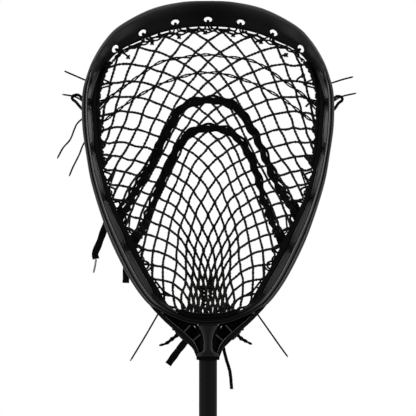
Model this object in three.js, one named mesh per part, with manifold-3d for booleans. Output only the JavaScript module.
// A strung goalie stick for field play: one moulded head, its net and strings, and a tubular shaft.
// Millimetres. +Z runs up the shaft, +X across the head, and the ball is caught from -Y.
// The origin is the middle of the flat bottom of the end cap.
import * as THREE from 'three';
import Module from 'manifold-3d';
import { mergeVertices } from 'three/addons/utils/BufferGeometryUtils.js';

const wasm = await Module();
wasm.setup();

// Driving sizes
const STICK_LENGTH = 1016;
const HEAD_WIDTH = 304.8;
const HEAD_LENGTH = 434;
const WALL_DEPTH = 45;
const SCOOP_DEPTH = 30;
const FACE_Y = -20;
const SHAFT_HALF_WIDTH = 10.9;
const SHAFT_HALF_DEPTH = 14;
const SHAFT_WALL = 1.2;
const GAP = 0.3;
const OVERRUN = 2;

// Where the head's face was measured from, for places that lie behind the face
const VIEW_DISTANCE = 2500;
const VIEW_DROP = 250;
const VIEW_HEIGHT = STICK_LENGTH - VIEW_DROP;

const headHalf = HEAD_WIDTH / 2;
const lipHeight = STICK_LENGTH - HEAD_LENGTH;

// Helpers

// A place given by its shares of the head's half width and length, as seen on the face, and its depth
function seenPlace(acrossShare, downShare, y) {
  const spread = 1 + (y - FACE_Y) / VIEW_DISTANCE;
  const z = STICK_LENGTH - downShare * HEAD_LENGTH;
  return new THREE.Vector3(
    acrossShare * headHalf * spread,
    y,
    VIEW_HEIGHT + (z - VIEW_HEIGHT) * spread,
  );
}

// The value of a list of evenly spaced shares at a place between them, on a smooth curve
function between(list, place) {
  const at = Math.min(Math.max(Math.floor(place), 0), list.length - 2);
  const t = place - at;
  const p1 = list[at];
  const p2 = list[at + 1];
  const p0 = at > 0 ? list[at - 1] : 2 * p1 - p2;
  const p3 = at + 2 < list.length ? list[at + 2] : 2 * p2 - p1;
  const bend = (2 * p0 - 5 * p1 + 4 * p2 - p3) * t + (3 * p1 - p0 - 3 * p2 + p3) * t * t;
  return p1 + ((p2 - p0) * t + bend * t) / 2;
}

function volumeOf(positions, faces) {
  let sum = 0;
  for (let i = 0; i < faces.length; i += 3) {
    const [a, b, c] = [faces[i], faces[i + 1], faces[i + 2]].map((n) => positions[n]);
    sum += a.dot(new THREE.Vector3().crossVectors(b, c));
  }
  return sum;
}

// A closed body from its corners and triangles, with its faces turned outwards
function body(positions, faces) {
  if (volumeOf(positions, faces) < 0) faces.reverse();
  const geometry = new THREE.BufferGeometry();
  const flat = positions.flatMap((p) => [p.x, p.y, p.z]);
  geometry.setAttribute('position', new THREE.Float32BufferAttribute(flat, 3));
  geometry.setIndex(faces);
  return geometry;
}

// A skin through rings of equally many points, closed round or capped at both ends
function loft(rings, closed) {
  const size = rings[0].length;
  const positions = rings.flat();
  const faces = [];
  const last = closed ? rings.length : rings.length - 1;
  for (let i = 0; i < last; i++) {
    const here = i * size;
    const next = ((i + 1) % rings.length) * size;
    for (let j = 0; j < size; j++) {
      const k = (j + 1) % size;
      faces.push(here + j, next + j, next + k, here + j, next + k, here + k);
    }
  }
  if (!closed) {
    const end = (rings.length - 1) * size;
    for (let j = 1; j < size - 1; j++) {
      faces.push(0, j, j + 1);
      faces.push(end, end + j + 1, end + j);
    }
  }
  return body(positions, faces);
}

function toSolid(geometry) {
  const bare = geometry.clone();
  bare.deleteAttribute('normal');
  bare.deleteAttribute('uv');
  const merged = mergeVertices(bare.index ? bare.toNonIndexed() : bare);
  return new wasm.Manifold(new wasm.Mesh({
    numProp: 3,
    vertProperties: new Float32Array(merged.attributes.position.array),
    triVerts: new Uint32Array(merged.index.array),
  }));
}

function toGeometry(solid) {
  const mesh = solid.getMesh();
  const geometry = new THREE.BufferGeometry();
  geometry.setAttribute('position', new THREE.BufferAttribute(mesh.vertProperties, 3));
  geometry.setIndex(new THREE.BufferAttribute(mesh.triVerts, 1));
  return geometry;
}

// A flat plate: an outline across X and Z, from its front face to its back face along Y
function plate(points, front, back) {
  const shape = new THREE.Shape(points.map(([x, z]) => new THREE.Vector2(x, z)));
  const geometry = new THREE.ExtrudeGeometry(shape, { depth: back - front, bevelEnabled: false });
  geometry.rotateX(Math.PI / 2);
  geometry.translate(0, back, 0);
  return geometry;
}

function sweep(shape, path, steps) {
  return new THREE.ExtrudeGeometry(shape, { steps, extrudePath: path, bevelEnabled: false });
}

// A round bar from one place to another
function bar(from, to, radius, sides) {
  const path = new THREE.LineCurve3(from, to);
  return sweep(roundShape(radius, sides), path, 1);
}

function roundShape(radius, sides) {
  const turn = (2 * Math.PI) / sides;
  const points = [];
  for (let i = 0; i < sides; i++) {
    points.push(new THREE.Vector2(Math.cos(i * turn) * radius, Math.sin(i * turn) * radius));
  }
  return new THREE.Shape(points);
}

function tube(points, radius, sides, steps) {
  const path = new THREE.CatmullRomCurve3(points);
  return sweep(roundShape(radius, sides), path, steps);
}

// A flat strip along a path. flatNormal gives the way its flat side faces at each place.
const stripSectionShares = [[1, 0], [0.8, 1], [-0.8, 1], [-1, 0], [-0.8, -1], [0.8, -1]];
function strip(points, width, thickness, steps, flatNormal) {
  const path = new THREE.CatmullRomCurve3(points);
  const rings = [];
  for (let i = 0; i <= steps; i++) {
    const centre = path.getPointAt(i / steps);
    const along = path.getTangentAt(i / steps);
    const across = new THREE.Vector3().crossVectors(along, flatNormal(centre)).normalize();
    const up = new THREE.Vector3().crossVectors(across, along).normalize();
    rings.push(stripSectionShares.map(([acrossShare, upShare]) => centre.clone()
      .addScaledVector(across, acrossShare * width / 2)
      .addScaledVector(up, upShare * thickness / 2)));
  }
  return loft(rings, false);
}

function finish(colour, roughness, metalness = 0) {
  return new THREE.MeshStandardMaterial({ color: colour, roughness, metalness });
}

const headPlastic = finish('#1b1b1c', 0.42);
const padFoam = finish('#111112', 0.85);
const shaftMetal = finish('#1d1d1f', 0.5, 0.6);
const rubber = finish('#161616', 0.8);
const steel = finish('#3a3a3c', 0.4, 0.9);
const netCord = finish('#121212', 0.9);
const lacing = finish('#141415', 0.85);
const nylon = finish('#181818', 0.6);
const agletPlastic = finish('#6f6f72', 0.4);

const stick = new THREE.Group();

function addPiece(name, geometry, material) {
  const mesh = new THREE.Mesh(geometry, material);
  mesh.name = name;
  stick.add(mesh);
  return mesh;
}

// The band of the head: a ring whose section changes from scoop to sidewall to ball stop.
// Outlines go from the top middle down one side to the bottom middle, as [across, down] shares.
const outerOutlineShares = [
  [0, 0], [0.221, 0.004], [0.458, 0.024], [0.695, 0.068], [0.814, 0.109], [0.909, 0.162],
  [0.964, 0.212], [0.996, 0.262], [0.996, 0.345], [0.964, 0.429], [0.924, 0.506], [0.842, 0.601],
  [0.751, 0.684], [0.616, 0.776], [0.49, 0.837], [0.395, 0.861], [0.284, 0.88], [0.157, 0.896],
  [0, 0.903],
];
const innerOutlineShares = [
  [0, 0.072], [0.189, 0.076], [0.379, 0.09], [0.561, 0.115], [0.688, 0.137], [0.782, 0.17],
  [0.846, 0.212], [0.881, 0.268], [0.877, 0.345], [0.854, 0.429], [0.798, 0.506], [0.719, 0.584],
  [0.608, 0.657], [0.49, 0.743], [0.379, 0.804], [0.318, 0.829], [0.232, 0.852], [0.13, 0.866],
  [0, 0.869],
];
const lastStation = outerOutlineShares.length - 1;

// Sections as [width share from the outer outline, depth share from the face], round the section
const scoopSectionShares = [
  [0, 0.17], [0.03, 0.05], [0.11, 0], [0.21, 0.05], [0.32, 0.23], [0.52, 0.5], [0.81, 0.77],
  [0.98, 0.8], [1, 0.9], [0.94, 0.98], [0.77, 0.97], [0.48, 0.7], [0.26, 0.4], [0.06, 0.27],
];
const sideSectionShares = [
  [0, 0.13], [0.08, 0.04], [0.28, 0], [0.5, 0.03], [0.58, 0.12], [0.55, 0.22], [0.76, 0.66],
  [1, 0.71], [1, 0.94], [0.88, 1], [0.64, 0.97], [0.55, 0.7], [0.3, 0.24], [0.06, 0.22],
];
const shelfSectionShares = [
  [0, 0.2], [0.06, 0.11], [0.2, 0.09], [0.4, 0.09], [0.53, 0.12], [0.57, 0.25], [0.6, 0.7],
  [0.6, 0.78], [0.6, 0.92], [0.5, 1], [0.2, 1], [0.04, 0.8], [0, 0.5], [0, 0.3],
];
const scoopEndStation = 4;
const sideStartStation = 7;
const sideEndStation = 13.4;
const shelfStartStation = 16.5;

const outerAcross = outerOutlineShares.map((share) => share[0]);
const outerDown = outerOutlineShares.map((share) => share[1]);
const innerAcross = innerOutlineShares.map((share) => share[0]);
const innerDown = innerOutlineShares.map((share) => share[1]);

// A value that mirrors smoothly past the top and bottom middle of the head
function alongBand(list, station, sign) {
  const padded = [sign * list[1], ...list, sign * list[list.length - 2]];
  return between(padded, station + 1);
}

function scoopShareAt(station) {
  return 1 - THREE.MathUtils.smoothstep(station, scoopEndStation, sideStartStation);
}

function shelfShareAt(station) {
  return THREE.MathUtils.smoothstep(station, sideEndStation, shelfStartStation);
}

function depthAt(station) {
  return THREE.MathUtils.lerp(WALL_DEPTH, SCOOP_DEPTH, scoopShareAt(station));
}

// A place on the band: its station down the side, its share from the outer to the inner outline,
// and its share of the depth
function bandPlace(side, station, widthShare, depthShare) {
  const y = FACE_Y + depthShare * depthAt(station);
  const across = THREE.MathUtils.lerp(
    alongBand(outerAcross, station, -1), alongBand(innerAcross, station, -1), widthShare);
  const down = THREE.MathUtils.lerp(
    alongBand(outerDown, station, 1), alongBand(innerDown, station, 1), widthShare);
  return seenPlace(side * across, down, y);
}

function bandSection(side, station) {
  const scoop = scoopShareAt(station);
  const shelf = shelfShareAt(station);
  return sideSectionShares.map((share, i) => {
    const mixed = [0, 1].map((axis) => {
      const upper = THREE.MathUtils.lerp(share[axis], scoopSectionShares[i][axis], scoop);
      return THREE.MathUtils.lerp(upper, shelfSectionShares[i][axis], shelf);
    });
    return bandPlace(side, station, mixed[0], mixed[1]);
  });
}

const stationsPerPoint = 2;
const bandSteps = lastStation * stationsPerPoint;
const bandRings = [];
for (let i = 0; i < bandSteps; i++) bandRings.push(bandSection(-1, i / stationsPerPoint));
for (let i = bandSteps; i > 0; i--) bandRings.push(bandSection(1, i / stationsPerPoint));
let head = toSolid(loft(bandRings, true));

// The throat: two outer rails, a socket for the shaft, a raised middle rib and four cross ribs
const throatOuterShares = [
  [0.5, 0.826], [0.49, 0.837], [0.395, 0.873], [0.339, 0.893], [0.248, 0.922], [0.166, 0.951],
  [0.122, 0.969], [0.083, 1],
];
const throatInnerShares = [
  [0.05, 1], [0.069, 0.975], [0.117, 0.942], [0.195, 0.917], [0.282, 0.891], [0.379, 0.864],
  [0.44, 0.836],
];
const RAIL_FRONT = -18;
const RAIL_BACK = 17;
const SOCKET_WALL = 1.9;
const SOCKET_BACK_WALL = 3;
const socketHeightShare = 0.113;
const SOCKET_FLOOR = 4;
const COLLAR_HEIGHT = 7;
const COLLAR_SWELL = 0.9;
const RIB_FRONT = -20.5;
const RIB_SINK = 4.5;
const RIB_GROOVE_HALF = 3.1;
const RIB_GROOVE_DEPTH = 0.8;

function facePoint([acrossShare, downShare]) {
  return [acrossShare * headHalf, STICK_LENGTH - downShare * HEAD_LENGTH];
}

function mirrored(points) {
  return points.map(([x, z]) => [-x, z]).reverse();
}

const railOutline = [...throatOuterShares, ...throatInnerShares].map(facePoint);
for (const outline of [railOutline, mirrored(railOutline)]) {
  head = head.add(toSolid(plate(outline, RAIL_FRONT, RAIL_BACK)));
}

// Half of the shaft's section, as shares of its half width and half depth
const shaftCornerShares = [[0.29, 1], [0.75, 0.87], [1, 0.52]];

function shaftSection(halfWidth, halfDepth) {
  const corner = shaftCornerShares.map(([x, y]) => [x * halfWidth, y * halfDepth]);
  const back = corner.map(([x, y]) => [x, -y]).reverse();
  const right = [...corner, ...back];
  return [...right, ...right.map(([x, y]) => [-x, y]).reverse()];
}

function column(section, bottom, top) {
  const shape = new THREE.Shape(section.map(([x, y]) => new THREE.Vector2(x, y)));
  const geometry = new THREE.ExtrudeGeometry(shape, { depth: top - bottom, bevelEnabled: false });
  geometry.translate(0, 0, bottom);
  return geometry;
}

const socketHalfWidth = SHAFT_HALF_WIDTH + GAP + SOCKET_WALL;
const socketHalfDepth = SHAFT_HALF_DEPTH + GAP + SOCKET_BACK_WALL;
const socketTop = lipHeight + socketHeightShare * HEAD_LENGTH;
const collarTop = lipHeight + COLLAR_HEIGHT;
head = head.add(toSolid(column(shaftSection(socketHalfWidth, socketHalfDepth), lipHeight, socketTop)));
head = head.add(toSolid(column(
  shaftSection(socketHalfWidth + COLLAR_SWELL, socketHalfDepth + COLLAR_SWELL), lipHeight, collarTop)));

// The raised middle rib, as [across, down] shares of its right side
const ribSideShares = [[0.033, 0.978], [0.035, 0.95], [0.044, 0.926], [0.073, 0.903], [0.085, 0.892]];
const ribSide = ribSideShares.map(facePoint);
const ribOutline = [...ribSide, ...mirrored(ribSide)];
head = head.add(toSolid(plate(ribOutline, RIB_FRONT, RIB_FRONT + RIB_SINK)));

const crossRibShares = [
  [[0.14, 0.902], [0.2, 0.925]],
  [[0.06, 0.928], [0.135, 0.95]],
];
const CROSS_RIB_HALF = 1.3;
const CROSS_RIB_FRONT = -17;
const CROSS_RIB_BACK = -9;
for (const [from, to] of crossRibShares) {
  const [x0, z0] = facePoint(from);
  const [x1, z1] = facePoint(to);
  const run = new THREE.Vector2(x1 - x0, z1 - z0).normalize().multiplyScalar(CROSS_RIB_HALF);
  const outline = [
    [x0 - run.y, z0 + run.x], [x0 + run.y, z0 - run.x],
    [x1 + run.y, z1 - run.x], [x1 - run.y, z1 + run.x],
  ].reverse();
  for (const side of [outline, mirrored(outline)]) {
    head = head.add(toSolid(plate(side, CROSS_RIB_FRONT, CROSS_RIB_BACK)));
  }
}

const grooveTop = facePoint(ribSideShares[ribSideShares.length - 1])[1];
const grooveOutline = [
  [-RIB_GROOVE_HALF, lipHeight], [RIB_GROOVE_HALF, lipHeight],
  [RIB_GROOVE_HALF, grooveTop], [-RIB_GROOVE_HALF, grooveTop],
];
head = head.subtract(toSolid(plate(grooveOutline, RIB_FRONT - OVERRUN, RIB_FRONT + RIB_GROOVE_DEPTH)));

// The bore that takes the shaft, with a floor at its top
const boreTop = socketTop - SOCKET_FLOOR;
const boreSection = shaftSection(SHAFT_HALF_WIDTH + GAP, SHAFT_HALF_DEPTH + GAP);
head = head.subtract(toSolid(column(boreSection, lipHeight - OVERRUN, boreTop)));

// Holes for the top string through the scoop, as stations each side of the middle one
const SCOOP_HOLE_RADIUS = 4.4;
const SCOOP_HOLE_SQUASH_SHARE = 0.75;
const scoopHoleStations = [0, 1.27, 2.52, 3.72];
const scoopHoleShare = 0.78;
const scoopHoleDepthShare = 0.8;
const scoopMiddleShare = 0.5;
const holeSideCount = 8;
for (const station of scoopHoleStations) {
  for (const side of station > 0 ? [-1, 1] : [1]) {
    const middle = bandPlace(side, station, scoopHoleShare, scoopHoleDepthShare);
    const hole = new THREE.ExtrudeGeometry(roundShape(SCOOP_HOLE_RADIUS, holeSideCount), {
      depth: 2 * SCOOP_DEPTH, bevelEnabled: false,
    });
    hole.scale(1, SCOOP_HOLE_SQUASH_SHARE, 1);
    hole.rotateX(Math.PI / 2);
    hole.translate(0, SCOOP_DEPTH, 0);
    const edge = bandPlace(side, station, 1, scoopHoleDepthShare);
    edge.sub(bandPlace(side, station, scoopMiddleShare, scoopHoleDepthShare));
    hole.rotateY(Math.atan2(edge.x, edge.z) + Math.PI);
    hole.translate(middle.x, middle.y, middle.z);
    head = head.subtract(toSolid(hole));
  }
}

// String holes through the back rail of each sidewall
const WALL_HOLE_RADIUS = 2.9;
const wallHoleDepthShare = 0.85;
const wallHoleWidthShares = [1.2, 0.3];
const wallHoleStations = [5.9, 6.95, 7.9, 8.8, 9.7, 10.5, 11.3, 12.1, 12.9, 13.7];
for (const side of [-1, 1]) {
  for (const station of wallHoleStations) {
    const [inside, outside] = wallHoleWidthShares.map(
      (widthShare) => bandPlace(side, station, widthShare, wallHoleDepthShare));
    head = head.subtract(toSolid(bar(inside, outside, WALL_HOLE_RADIUS, holeSideCount)));
  }
}

// Slots that lighten the web of each sidewall, between its front rim and its back rail
const slotStations = [7.35, 8.75, 10.6, 12.4];
const slotHalfShares = { station: 0.13, top: 0.26, bottom: 0.6 };
const slotWidthShares = [0.15, 1.15];
for (const side of [-1, 1]) {
  for (const station of slotStations) {
    const rings = slotWidthShares.map((widthShare) => [
      bandPlace(side, station - slotHalfShares.station, widthShare, slotHalfShares.top),
      bandPlace(side, station + slotHalfShares.station, widthShare, slotHalfShares.top),
      bandPlace(side, station + slotHalfShares.station, widthShare, slotHalfShares.bottom),
      bandPlace(side, station - slotHalfShares.station, widthShare, slotHalfShares.bottom),
    ]);
    head = head.subtract(toSolid(loft(rings, false)));
  }
}

// The screw that holds the head on the shaft, from the back
const SCREW_RADIUS = 1.8;
const SCREW_HEAD_RADIUS = 3.4;
const SCREW_HEAD_HEIGHT = 2.4;
const SCREW_LENGTH = 9;
const SCREW_UP = 24;
const screwSideCount = 12;
const screwHeight = lipHeight + SCREW_UP;
const screwSeat = socketHalfDepth + GAP;
const screwHole = bar(
  new THREE.Vector3(0, 0, screwHeight), new THREE.Vector3(0, socketHalfDepth + OVERRUN, screwHeight),
  SCREW_RADIUS + GAP, screwSideCount);
head = head.subtract(toSolid(screwHole));
addPiece('head_frame', toGeometry(head), headPlastic);

const screwShank = bar(
  new THREE.Vector3(0, screwSeat - SCREW_LENGTH, screwHeight),
  new THREE.Vector3(0, screwSeat + SCREW_HEAD_HEIGHT / 2, screwHeight), SCREW_RADIUS, screwSideCount);
const screwHead = bar(
  new THREE.Vector3(0, screwSeat, screwHeight),
  new THREE.Vector3(0, screwSeat + SCREW_HEAD_HEIGHT, screwHeight), SCREW_HEAD_RADIUS, screwSideCount);
addPiece('head_screw', toGeometry(toSolid(screwShank).add(toSolid(screwHead))), steel);

// The foam pad on the ball stop
const padStationShares = [0, 0.25, 0.5, 0.75, 1];
const PAD_END_STATION = 16.35;
const padGapShare = 0.03;
const padSectionShares = [
  [0.6 + padGapShare, 0.1], [0.74, 0.07], [0.93, 0.09], [1, 0.2], [1, 0.8], [0.92, 0.9],
  [0.6 + padGapShare, 0.9],
];
function padRing(side, share) {
  const station = THREE.MathUtils.lerp(PAD_END_STATION, lastStation, share);
  return padSectionShares.map(([width, depth]) => bandPlace(side, station, width, depth));
}
const padRings = [
  ...padStationShares.map((share) => padRing(-1, share)),
  ...padStationShares.slice(0, -1).reverse().map((share) => padRing(1, share)),
];
addPiece('ball_stop_pad', loft(padRings, false), padFoam);

// The shaft and the cap on its end
const CAP_FLOOR = 5;
const CAP_HEIGHT = 48;
const CAP_WALL = 2.4;
const capRingShares = [[0, 0.86], [0.04, 0.97], [0.125, 1.08], [0.27, 1.08], [0.375, 0.98], [1, 0.96]];
const shaftTop = boreTop - GAP;
const shaftOuter = shaftSection(SHAFT_HALF_WIDTH, SHAFT_HALF_DEPTH);
const shaftInner = shaftSection(SHAFT_HALF_WIDTH - SHAFT_WALL, SHAFT_HALF_DEPTH - SHAFT_WALL);
let shaft = toSolid(column(shaftOuter, CAP_FLOOR, shaftTop));
shaft = shaft.subtract(toSolid(column(shaftInner, CAP_FLOOR - OVERRUN, shaftTop + OVERRUN)));
shaft = shaft.subtract(toSolid(screwHole));
addPiece('shaft', toGeometry(shaft), shaftMetal);

const capHalfWidth = SHAFT_HALF_WIDTH + GAP + CAP_WALL;
const capHalfDepth = SHAFT_HALF_DEPTH + GAP + CAP_WALL;
let cap = toSolid(loft(capRingShares.map(([heightShare, swellShare]) => {
  const section = shaftSection(capHalfWidth * swellShare, capHalfDepth * swellShare);
  return section.map(([x, y]) => new THREE.Vector3(x, y, heightShare * CAP_HEIGHT));
}), false));
cap = cap.subtract(toSolid(column(boreSection, CAP_FLOOR - GAP, CAP_HEIGHT + OVERRUN)));
addPiece('end_cap', toGeometry(cap), rubber);

// The net. Knots lie on rows and columns; a knot's row and column are both even or one of each,
// and each knot is tied to the two below it. Places are for every fourth row and second column,
// as [across, down] shares seen on the face.
const rowsPerLineCount = 4;
const columnsPerPlaceCount = 2;
const knotShares = [
  [[0, 0.112], [0.213, 0.12], [0.419, 0.14], [0.608, 0.176], [0.775, 0.229], [0.89, 0.285], [0.99, 0.343]],
  [[0, 0.225], [0.157, 0.233], [0.308, 0.254], [0.466, 0.276], [0.632, 0.309], [0.775, 0.354], [0.9, 0.398]],
  [[0, 0.319], [0.134, 0.329], [0.26, 0.352], [0.379, 0.379], [0.513, 0.407], [0.687, 0.434], [0.826, 0.466]],
  [[0, 0.407], [0.15, 0.418], [0.252, 0.445], [0.355, 0.468], [0.474, 0.498], [0.624, 0.519], [0.757, 0.551]],
  [[0, 0.526], [0.114, 0.529], [0.213, 0.541], [0.32, 0.559], [0.426, 0.579], [0.537, 0.605], [0.66, 0.632]],
  [[0, 0.662], [0.082, 0.663], [0.157, 0.66], [0.237, 0.654], [0.324, 0.67], [0.434, 0.695], [0.53, 0.731]],
  [[0, 0.787], [0.047, 0.787], [0.094, 0.779], [0.15, 0.768], [0.205, 0.771], [0.284, 0.79], [0.352, 0.817]],
  [[0, 0.9], [0.02, 0.9], [0.04, 0.9], [0.06, 0.9], [0.08, 0.9], [0.1, 0.9], [0.12, 0.9]],
];
const firstTableRowIndex = 1;
const lastRowIndex = 27;
const topEdgeColumnIndices = [7, 8, 9, 10, 9, 10, 11, 10, 11];
const edgeColumnIndex = 12;

// How far the pocket hangs behind its edges down the middle, for even steps down the head
const pocketDepthShares = [0, 0.12, 0.3, 0.5, 0.7, 0.87, 0.98, 0.98, 0.8, 0.3, 0];
const POCKET_DEPTH = 112;
const pocketTopShare = 0.07;
const pocketStepShare = 0.085;
const SIDE_EDGE_Y = 19;
const TOP_EDGE_Y = 13;
const edgeSettleShare = 0.2;
const FOOT_EDGE_Y = 28;
const footStartShare = 0.77;
const footEndShare = 0.83;
const edgeClearShare = 0.06;
const netFootShare = 0.15;
const crownPowerShare = 0.85;

function wallShareAt(downShare) {
  let station = 0;
  while (station < lastStation - 1 && innerDown[station + 1] < downShare) station++;
  const t = (downShare - innerDown[station]) / (innerDown[station + 1] - innerDown[station]);
  return THREE.MathUtils.lerp(innerAcross[station], innerAcross[station + 1], THREE.MathUtils.clamp(t, 0, 1));
}

// How far across the net may reach and stay clear of the wall
function netReachAt(downShare) {
  return Math.max(wallShareAt(downShare) - edgeClearShare, netFootShare);
}

function pocketY(acrossShare, downShare) {
  const upperEdge = THREE.MathUtils.lerp(TOP_EDGE_Y, SIDE_EDGE_Y,
    THREE.MathUtils.smoothstep(downShare, pocketTopShare, edgeSettleShare));
  const edge = THREE.MathUtils.lerp(upperEdge, FOOT_EDGE_Y,
    THREE.MathUtils.smoothstep(downShare, footStartShare, footEndShare));
  const middle = Math.max(0, between(pocketDepthShares, (downShare - pocketTopShare) / pocketStepShare));
  const reach = Math.min(1, Math.abs(acrossShare) / netReachAt(downShare));
  return edge + POCKET_DEPTH * middle * (1 - reach * reach) ** crownPowerShare;
}

function pocketPlace(acrossShare, downShare) {
  return seenPlace(acrossShare, downShare, pocketY(acrossShare, downShare));
}

// The way the catching side of the pocket faces
const SLOPE_SHARE = 0.01;
function pocketNormal(acrossShare, downShare) {
  const across = pocketPlace(acrossShare + SLOPE_SHARE, downShare)
    .sub(pocketPlace(acrossShare - SLOPE_SHARE, downShare));
  const down = pocketPlace(acrossShare, downShare + SLOPE_SHARE)
    .sub(pocketPlace(acrossShare, downShare - SLOPE_SHARE));
  return new THREE.Vector3().crossVectors(down, across).normalize().multiplyScalar(-1);
}

function knotSeen(column, row) {
  const tableRow = (row - firstTableRowIndex) / rowsPerLineCount;
  const tableColumn = Math.abs(column) / columnsPerPlaceCount;
  const [across, down] = [0, 1].map((axis) => {
    const sign = axis === 0 ? -1 : 1;
    const byRow = knotShares.map((line) => {
      const list = line.map((share) => share[axis]);
      return between([sign * list[1], ...list], tableColumn + 1);
    });
    return between(byRow, tableRow);
  });
  return [Math.sign(column) * Math.min(across, netReachAt(down)), down];
}

const NET_CORD_WIDTH = 2;
const NET_CORD_DEPTH = 1.7;
const sharpestCornerShare = 0.16;

function lastColumn(row) {
  if (row < topEdgeColumnIndices.length) return topEdgeColumnIndices[row];
  return row % 2 === 1 ? edgeColumnIndex : edgeColumnIndex - 1;
}

const knots = new Map();
for (let row = 0; row <= lastRowIndex; row++) {
  for (let column = -lastColumn(row); column <= lastColumn(row); column++) {
    if ((row + column) % 2 === 0) continue;
    const [across, down] = knotSeen(column, row);
    knots.set(`${column},${row}`, {
      place: pocketPlace(across, down), normal: pocketNormal(across, down), ways: [],
    });
  }
}
const strands = [];
for (const [key, knot] of knots) {
  const [column, row] = key.split(',').map(Number);
  for (const step of [-1, 1]) {
    const lower = knots.get(`${column + step},${row + 1}`);
    if (lower) strands.push([knot, lower]);
  }
}

// Each strand is a four-sided bar between two knots, and the bars share the corners of their knots
function netBody() {
  const positions = [];
  const faces = [];
  strands.forEach(([upper, lower], index) => {
    upper.ways.push({ index, other: lower });
    lower.ways.push({ index, other: upper });
  });
  const sides = new Map();
  for (const knot of knots.values()) {
    const acrossWay = new THREE.Vector3(1, 0, 0).addScaledVector(knot.normal, -knot.normal.x).normalize();
    const upWay = new THREE.Vector3().crossVectors(knot.normal, acrossWay);
    for (const way of knot.ways) {
      const run = way.other.place.clone().sub(knot.place);
      way.angle = Math.atan2(run.dot(upWay), run.dot(acrossWay));
    }
    knot.ways.sort((a, b) => a.angle - b.angle);
    const corners = knot.ways.map((way, i) => {
      const next = knot.ways[(i + 1) % knot.ways.length];
      let opening = next.angle - way.angle;
      if (opening <= 0) opening += 2 * Math.PI;
      const reach = NET_CORD_WIDTH / 2 / Math.max(Math.sin(opening / 2), sharpestCornerShare);
      const turn = way.angle + opening / 2;
      const flat = knot.place.clone()
        .addScaledVector(acrossWay, Math.cos(turn) * reach)
        .addScaledVector(upWay, Math.sin(turn) * reach);
      const first = positions.length;
      positions.push(flat.clone().addScaledVector(knot.normal, NET_CORD_DEPTH / 2));
      positions.push(flat.clone().addScaledVector(knot.normal, -NET_CORD_DEPTH / 2));
      return first;
    });
    knot.ways.forEach((way, i) => {
      const before = corners[(i + corners.length - 1) % corners.length];
      const after = corners[i];
      sides.set(way.index, [...(sides.get(way.index) ?? []), { after, before }]);
    });
    for (let i = 1; i < corners.length - 1; i++) {
      faces.push(corners[0], corners[i], corners[i + 1]);
      faces.push(corners[0] + 1, corners[i + 1] + 1, corners[i] + 1);
    }
  }
  for (const [one, two] of sides.values()) {
    const loop = [one.before, one.after, two.before, two.after];
    const [a, b, c, d] = loop;
    faces.push(b, a, d, b, d, c);
    faces.push(b + 1, d + 1, a + 1, b + 1, c + 1, d + 1);
    faces.push(b, c, c + 1, b, c + 1, b + 1);
    faces.push(d, a, a + 1, d, a + 1, d + 1);
  }
  return body(positions, faces);
}
addPiece('pocket_net', netBody(), netCord);

// Laces and shooting cords that lie on the catching side of the net, as [across, down] shares
function onPocket(shares, stand) {
  return shares.map(([across, down]) => pocketPlace(across, down)
    .addScaledVector(pocketNormal(across, down), stand));
}
function bothSides(halfShares) {
  return [...halfShares, ...halfShares.slice(0, -1).map(([across, down]) => [-across, down]).reverse()];
}
const LACE_WIDTH = 8;
const LACE_THICKNESS = 1.3;
const LACE_STAND = 2.7;
const laceStepCount = 32;
const upperLaceShares = [
  [-0.69, 0.575], [-0.66, 0.567], [-0.575, 0.524], [-0.5, 0.478], [-0.44, 0.43], [-0.4, 0.395],
  [-0.355, 0.36], [-0.315, 0.328], [-0.265, 0.3], [-0.18, 0.281], [-0.09, 0.272], [0, 0.269],
];
const lowerLaceShares = [
  [-0.56, 0.668], [-0.51, 0.63], [-0.474, 0.596], [-0.427, 0.555], [-0.38, 0.512], [-0.332, 0.465],
  [-0.285, 0.42], [-0.238, 0.392], [-0.18, 0.37], [-0.1, 0.356], [0, 0.352],
];
function facing(point) {
  const spread = 1 + (point.y - FACE_Y) / VIEW_DISTANCE;
  const down = (STICK_LENGTH - VIEW_HEIGHT - (point.z - VIEW_HEIGHT) / spread) / HEAD_LENGTH;
  return pocketNormal(point.x / spread / headHalf, down);
}
const laces = { shooting_lace_upper: upperLaceShares, shooting_lace_lower: lowerLaceShares };
for (const [name, shares] of Object.entries(laces)) {
  const points = onPocket(bothSides(shares), LACE_STAND);
  addPiece(name, strip(points, LACE_WIDTH, LACE_THICKNESS, laceStepCount, facing), lacing);
}

const CORD_PAIR_WIDTH = 2.8;
const CORD_PAIR_THICKNESS = 1.4;
const CORD_PAIR_STAND = 2.6;
const cordPairStepCount = 28;
const upperCordShares = [
  [-0.79, 0.283], [-0.71, 0.24], [-0.616, 0.218], [-0.482, 0.188], [-0.379, 0.17], [-0.284, 0.161],
  [-0.142, 0.154], [0, 0.149],
];
const lowerCordShares = [
  [-0.79, 0.335], [-0.76, 0.318], [-0.672, 0.295], [-0.585, 0.27], [-0.474, 0.248], [-0.379, 0.231],
  [-0.252, 0.215], [-0.1, 0.201], [0, 0.199],
];
const cordPairs = { nylon_shooter_upper: upperCordShares, nylon_shooter_lower: lowerCordShares };
for (const [name, shares] of Object.entries(cordPairs)) {
  const points = onPocket(bothSides(shares), CORD_PAIR_STAND);
  addPiece(name, strip(points, CORD_PAIR_WIDTH, CORD_PAIR_THICKNESS, cordPairStepCount, facing), nylon);
}

// Strings that whip round the band's edge through its holes and carry the net.
// Each turn is a list of [station step, width share, depth share] round one hole.
const STRING_RADIUS = 1.1;
const stringSideCount = 6;

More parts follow.
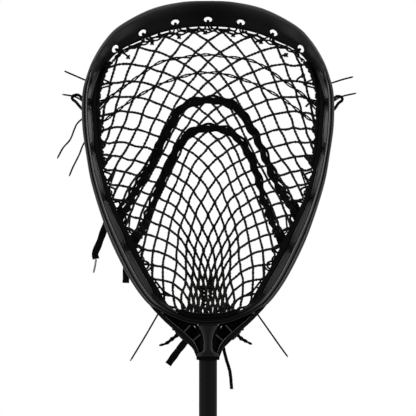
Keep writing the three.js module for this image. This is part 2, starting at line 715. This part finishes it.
const wallTurnShares = [
  [-0.25, 1.2, 0.93], [-0.08, 1.2, 0.85], [0, 0.85, 0.85], [0.05, 0.46, 0.88], [0.12, 0.5, 1.05],
  [0.2, 0.8, 1.1], [0.28, 1.1, 1.1],
];
const wallStringStepCount = 8;
for (const [name, side] of [['sidewall_string_left', -1], ['sidewall_string_right', 1]]) {
  const points = wallHoleStations.flatMap((station) => wallTurnShares.map(
    ([step, widthShare, depthShare]) => bandPlace(side, station + step, widthShare, depthShare)));
  const steps = wallHoleStations.length * wallStringStepCount;
  addPiece(name, tube(points, STRING_RADIUS, stringSideCount, steps), netCord);
}

const topTurnShares = [
  [-0.35, 1.08, 0.9], [-0.16, 1.06, 0.71], [-0.05, 0.92, 0.69], [0, 0.78, 0.82], [0.05, 0.82, 1.06],
  [0.16, 1.02, 1.08], [0.35, 1.08, 1],
];
const topStringStepCount = 8;
const topStations = [
  ...scoopHoleStations.slice(1).reverse().map((station) => [-1, station]),
  ...scoopHoleStations.map((station) => [1, station]),
];
const topPoints = topStations.flatMap(([side, station]) => topTurnShares.map(
  ([step, widthShare, depthShare]) => {
    const signed = side * station + step;
    return bandPlace(Math.sign(signed) || 1, Math.abs(signed), widthShare, depthShare);
  }));
const topSteps = topStations.length * topStringStepCount;
addPiece('top_string', tube(topPoints, STRING_RADIUS, stringSideCount, topSteps), netCord);

// The string that gathers the foot of the net behind the ball stop
const BOTTOM_STRING_RADIUS = 1.6;
const bottomStepCount = 24;
const bottomStringShares = { width: 0.5, depth: 1.043 };
const bottomStringPoints = [
  [-1, 16.1], [-1, 16.6], [-1, 17.1], [-1, 17.6], [1, 18], [1, 17.6], [1, 17.1], [1, 16.6], [1, 16.1],
].map(([side, station]) => bandPlace(
  side, station, bottomStringShares.width, bottomStringShares.depth));
const bottomTube = tube(bottomStringPoints, BOTTOM_STRING_RADIUS, stringSideCount, bottomStepCount);
addPiece('bottom_string', bottomTube, netCord);

// Free ends. Each route was chosen by hand, from the rail it leaves to its cut end.
const NYLON_RADIUS = 0.9;
const TIED_LACE_RADIUS = 2;
const ROUND_LACE_RADIUS = 1.9;
const BRAID_RADIUS = 2.4;
const AGLET_RADIUS = 1.2;
const tailSideCount = 8;
const nylonStepLength = 5.4;
const laceStepLength = 6;

const roundTails = {
  nylon_tail_left_1: {
    radius: NYLON_RADIUS,
    route: [[-140.6, 17, 918.5], [-149, 18, 922], [-160.5, 18, 927], [-170, 16, 931], [-175.5, 15, 933.5]],
  },
  nylon_tail_left_2: {
    radius: NYLON_RADIUS,
    route: [
      [-141, 25.5, 886.5], [-149, 28.5, 893], [-158, 29, 900], [-166, 28.5, 903.5], [-179, 26, 905.5],
    ],
  },
  nylon_tail_left_3: {
    radius: NYLON_RADIUS,
    route: [
      [-145, 15, 879], [-154, 18, 875], [-160.5, 19, 869], [-164, 19, 861.5], [-169, 19, 849.5],
      [-177.5, 18, 839.5], [-184.5, 17, 826.5],
    ],
  },
  nylon_tail_left_4: {
    radius: NYLON_RADIUS,
    route: [[-142.7, 16, 853.5], [-152, 19, 845], [-158, 20, 831], [-165.5, 20, 816], [-170, 19, 805]],
  },
  nylon_tail_left_5: {
    radius: NYLON_RADIUS,
    route: [[-54, 26.4, 649], [-61.5, 25, 635.5], [-78, 20, 607], [-95, 15, 579]],
  },
  nylon_tail_right_1: {
    radius: NYLON_RADIUS,
    route: [[142, 17, 914.5], [150, 18, 918.5], [165.5, 18, 923.5], [177.5, 17, 926.5]],
  },
  nylon_tail_right_2: {
    radius: NYLON_RADIUS,
    route: [
      [141, 25.5, 886], [149, 28.5, 892.5], [157, 29, 899], [166, 28.5, 903.5], [182, 26, 907],
    ],
  },
  nylon_tail_right_3: {
    radius: NYLON_RADIUS,
    route: [[53, 26.4, 648], [60.5, 25, 636], [70, 22.5, 622.5], [88, 18, 597], [97.5, 15, 584]],
  },
  lace_loop_left: {
    radius: TIED_LACE_RADIUS,
    route: [
      [-146, 17, 888], [-151, 19, 896], [-158, 21, 904], [-164.5, 22, 904], [-166.5, 22.5, 900],
      [-162, 23, 896], [-155, 22, 888], [-146.7, 19, 880.5],
    ],
  },
  lace_loop_right: {
    radius: TIED_LACE_RADIUS,
    route: [
      [146, 17, 888], [151, 19, 895.5], [157, 21, 902.5], [163.5, 22, 902], [164.5, 22.5, 898],
      [160, 23, 894.5], [155, 22, 887.5], [146.7, 19, 880.5],
    ],
  },
  tied_end_left: {
    radius: BRAID_RADIUS,
    route: [
      [-31.5, 17.7, 615.5], [-32.2, 22, 615], [-37, 27, 610.5], [-44, 29, 605], [-51.5, 29, 599.5],
      [-60, 28, 597],
    ],
  },
  tied_end_right: {
    radius: BRAID_RADIUS,
    route: [
      [31, 17.8, 615.5], [31.8, 22, 614.8], [36, 26.5, 610.5], [41, 28, 605.5], [48, 28, 601.5],
      [54, 27, 598.5],
    ],
  },
  round_lace_right: {
    radius: ROUND_LACE_RADIUS,
    route: [
      [17.5, 17.6, 600], [18, 22, 598.8], [19.5, 25.5, 592], [22.5, 26, 580], [27, 24, 564.5],
      [29, 21, 544],
    ],
  },
};
function toPoints(route) {
  return route.map(([x, y, z]) => new THREE.Vector3(x, y, z));
}
for (const [name, { radius, route }] of Object.entries(roundTails)) {
  const points = toPoints(route);
  const length = new THREE.CatmullRomCurve3(points).getLength();
  const stepLength = radius === NYLON_RADIUS ? nylonStepLength : laceStepLength;
  const material = radius === NYLON_RADIUS ? nylon : lacing;
  addPiece(name, tube(points, radius, tailSideCount, Math.round(length / stepLength)), material);
}

const FLAT_TAIL_WIDTH = 6.4;
const FLAT_TAIL_THICKNESS = 1.6;
const flatTails = {
  flat_lace_left_upper: [
    [-121, 18, 757], [-127, 22, 741], [-133.5, 25, 723], [-138.5, 25, 710.5], [-137.5, 24, 703.5],
  ],
  flat_lace_left_lower: [[-97, 26.4, 729], [-98, 34, 717], [-100, 31, 699], [-101, 26, 674]],
  flat_strap_left: [[-22, 18, 610.5], [-25.5, 23.5, 605], [-31, 27, 598], [-38, 27.5, 589], [-49, 25, 574]],
};
const towardsFace = new THREE.Vector3(0, -1, 0);
for (const [name, route] of Object.entries(flatTails)) {
  const points = toPoints(route);
  const length = new THREE.CatmullRomCurve3(points).getLength();
  const steps = Math.round(length / laceStepLength);
  addPiece(name, strip(points, FLAT_TAIL_WIDTH, FLAT_TAIL_THICKNESS, steps, () => towardsFace), lacing);
}
const agletRoute = [[-137.4, 24, 703], [-138.6, 23.6, 695], [-140.5, 23, 686.5]];
const agletStepCount = 2;
addPiece('lace_aglet', tube(toPoints(agletRoute), AGLET_RADIUS, tailSideCount, agletStepCount), agletPlastic);

export default stick;
